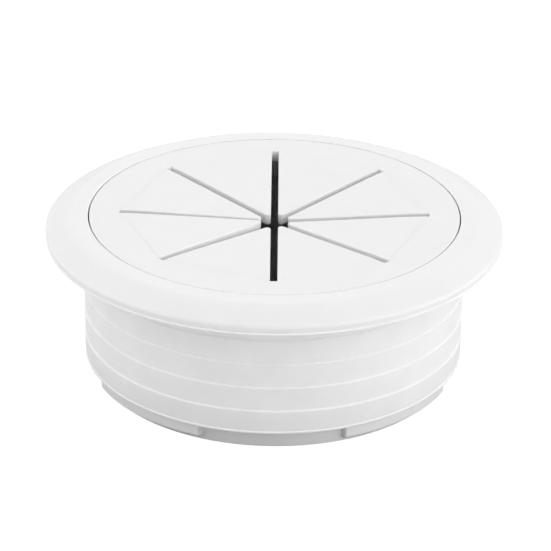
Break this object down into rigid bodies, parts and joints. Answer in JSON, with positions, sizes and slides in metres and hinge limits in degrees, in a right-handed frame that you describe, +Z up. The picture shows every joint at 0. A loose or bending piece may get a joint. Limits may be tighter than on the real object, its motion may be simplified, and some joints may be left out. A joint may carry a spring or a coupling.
{
  "type": "desk grommet",
  "caption": "Round cable grommet for a desktop: a wide trim flange over a ribbed barrel, with a drop-in lid slit into springy petals around a small centre hole.",
  "frame": {"origin": "centre of the tube's lower end, on the grommet's axis", "axes": "+Z up along the axis towards the lid's visible face, -Y the front, with one pair of slits along Y"},
  "size_m": [0.096, 0.096, 0.0351],
  "materials": {
    "flange_plastic": "satin moulded white plastic",
    "sleeve_plastic": "matte, slightly mottled white plastic",
    "lid_plastic": "satin moulded white plastic, flexible"
  },
  "bodies": {
    "base": {"trim_flange": "flange_plastic", "ribbed_sleeve": "sleeve_plastic"},
    "lid": {"lid_ring": "lid_plastic"},
    "petal_1": {"petal_1": "lid_plastic"},
    "petal_2": {"petal_2": "lid_plastic"},
    "petal_3": {"petal_3": "lid_plastic"},
    "petal_4": {"petal_4": "lid_plastic"},
    "petal_5": {"petal_5": "lid_plastic"},
    "petal_6": {"petal_6": "lid_plastic"},
    "petal_7": {"petal_7": "lid_plastic"},
    "petal_8": {"petal_8": "lid_plastic"}
  },
  "joints": [
    {"name": "lid_lift", "type": "slide", "parent": "base", "child": "lid", "axis": [0, 0, 1], "range_m": [0, 0.012]},
    {"name": "petal_1_flex", "type": "hinge", "parent": "lid", "child": "petal_1", "pos_m": [0.01149, -0.02774, 0.03455], "axis": [-0.9239, -0.3827, 0], "range_deg": [-30, 55], "stiffness_Nm_per_rad": 0.02},
    {"name": "petal_2_flex", "type": "hinge", "parent": "lid", "child": "petal_2", "pos_m": [0.02774, -0.01149, 0.03455], "axis": [-0.3827, -0.9239, 0], "range_deg": [-30, 55], "stiffness_Nm_per_rad": 0.02},
    {"name": "petal_3_flex", "type": "hinge", "parent": "lid", "child": "petal_3", "pos_m": [0.02774, 0.01149, 0.03455], "axis": [0.3827, -0.9239, 0], "range_deg": [-30, 55], "stiffness_Nm_per_rad": 0.02},
    {"name": "petal_4_flex", "type": "hinge", "parent": "lid", "child": "petal_4", "pos_m": [0.01149, 0.02774, 0.03455], "axis": [0.9239, -0.3827, 0], "range_deg": [-30, 55], "stiffness_Nm_per_rad": 0.02},
    {"name": "petal_5_flex", "type": "hinge", "parent": "lid", "child": "petal_5", "pos_m": [-0.01149, 0.02774, 0.03455], "axis": [0.9239, 0.3827, 0], "range_deg": [-30, 55], "stiffness_Nm_per_rad": 0.02},
    {"name": "petal_6_flex", "type": "hinge", "parent": "lid", "child": "petal_6", "pos_m": [-0.02774, 0.01149, 0.03455], "axis": [0.3827, 0.9239, 0], "range_deg": [-30, 55], "stiffness_Nm_per_rad": 0.02},
    {"name": "petal_7_flex", "type": "hinge", "parent": "lid", "child": "petal_7", "pos_m": [-0.02774, -0.01149, 0.03455], "axis": [-0.3827, 0.9239, 0], "range_deg": [-30, 55], "stiffness_Nm_per_rad": 0.02},
    {"name": "petal_8_flex", "type": "hinge", "parent": "lid", "child": "petal_8", "pos_m": [-0.01149, -0.02774, 0.03455], "axis": [-0.9239, 0.3827, 0], "range_deg": [-30, 55], "stiffness_Nm_per_rad": 0.02}
  ]
}
